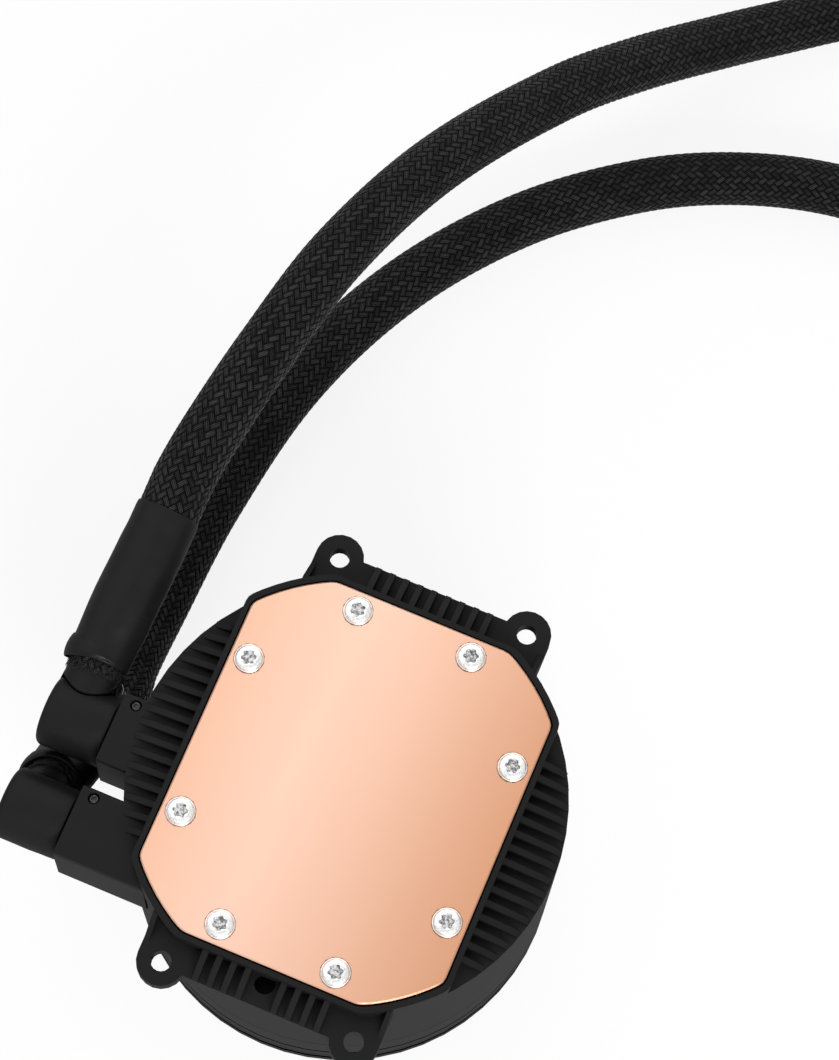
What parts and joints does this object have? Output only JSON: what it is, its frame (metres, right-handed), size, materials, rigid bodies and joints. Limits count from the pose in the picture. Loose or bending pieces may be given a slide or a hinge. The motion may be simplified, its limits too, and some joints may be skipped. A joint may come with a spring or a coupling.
{
  "type": "all in one cpu liquid cooler",
  "caption": "Sealed processor cooler: round pump head with a copper cold plate, swivel elbows, braided hoses and a flat radiator.",
  "frame": {"origin": "centre of the pump cap's flat outer face, on the pump's axis, where the pump rests", "axes": "+Z is the cold plate's outward normal, +Y runs along the plate's long side and the hoses leave that way, +X points away from the hose ports"},
  "size_m": [0.3605, 0.2672, 0.055],
  "materials": {
    "copper": "satin milled copper",
    "steel": "bright plated steel",
    "core_steel": "laminated steel",
    "moulding": "fine satin black moulding",
    "trim": "smooth dark grey moulding",
    "shrink_sleeve": "smooth shrunk sleeve",
    "rubber": "soft black rubber",
    "braid": "black braided sleeve",
    "ferrite": "sintered ferrite",
    "ceramic": "polished ceramic",
    "winding": "enamelled copper wire",
    "board": "lacquered circuit board",
    "radiator_paint": "black baked paint"
  },
  "bodies": {
    "pump": {"chamber_cover": "moulding", "chamber_cover_screw_1": "steel", "chamber_cover_screw_2": "steel", "chamber_cover_screw_3": "steel", "circuit_board": "board", "cold_plate": "copper", "cold_plate_gasket": "rubber", "cold_plate_screw_1": "steel", "cold_plate_screw_2": "steel", "cold_plate_screw_3": "steel", "cold_plate_screw_4": "steel", "cold_plate_screw_5": "steel", "cold_plate_screw_6": "steel", "cold_plate_screw_7": "steel", "cold_plate_screw_8": "steel", "flow_plate": "moulding", "hose_lower": "braid", "hose_upper": "braid", "impeller_shaft": "ceramic", "pump_cap": "trim", "pump_housing": "moulding", "radiator_barb_lower": "steel", "radiator_barb_upper": "steel", "radiator_collar_lower": "shrink_sleeve", "radiator_collar_upper": "shrink_sleeve", "radiator_core": "radiator_paint", "radiator_frame_left": "radiator_paint", "radiator_frame_right": "radiator_paint", "radiator_plug": "steel", "radiator_tank_front": "radiator_paint", "radiator_tank_rear": "radiator_paint", "retaining_pin_lower": "steel", "retaining_pin_upper": "steel", "stator_coil_1": "winding", "stator_coil_2": "winding", "stator_coil_3": "winding", "stator_coil_4": "winding", "stator_coil_5": "winding", "stator_coil_6": "winding", "stator_core": "core_steel", "trim_ring": "trim"},
    "impeller": {"impeller": "moulding", "rotor_magnet": "ferrite", "rotor_bush": "ferrite"},
    "elbow_upper": {"elbow_upper": "moulding", "elbow_seal_upper": "rubber", "hose_collar_upper": "shrink_sleeve"},
    "elbow_lower": {"elbow_lower": "moulding", "elbow_seal_lower": "rubber", "hose_collar_lower": "shrink_sleeve"}
  },
  "joints": [
    {"name": "impeller_spin", "type": "hinge", "parent": "pump", "child": "impeller", "pos_m": [0, 0, 0.035], "axis": [0, 0, 1], "continuous": true},
    {"name": "elbow_upper_swivel", "type": "hinge", "parent": "pump", "child": "elbow_upper", "pos_m": [-0.0415, -0.0044, 0.0407], "axis": [1, 0, 0], "range_deg": [-25, 60]},
    {"name": "elbow_lower_swivel", "type": "hinge", "parent": "pump", "child": "elbow_lower", "pos_m": [-0.0415, -0.0219, 0.0407], "axis": [1, 0, 0], "range_deg": [-36, 0]}
  ]
}
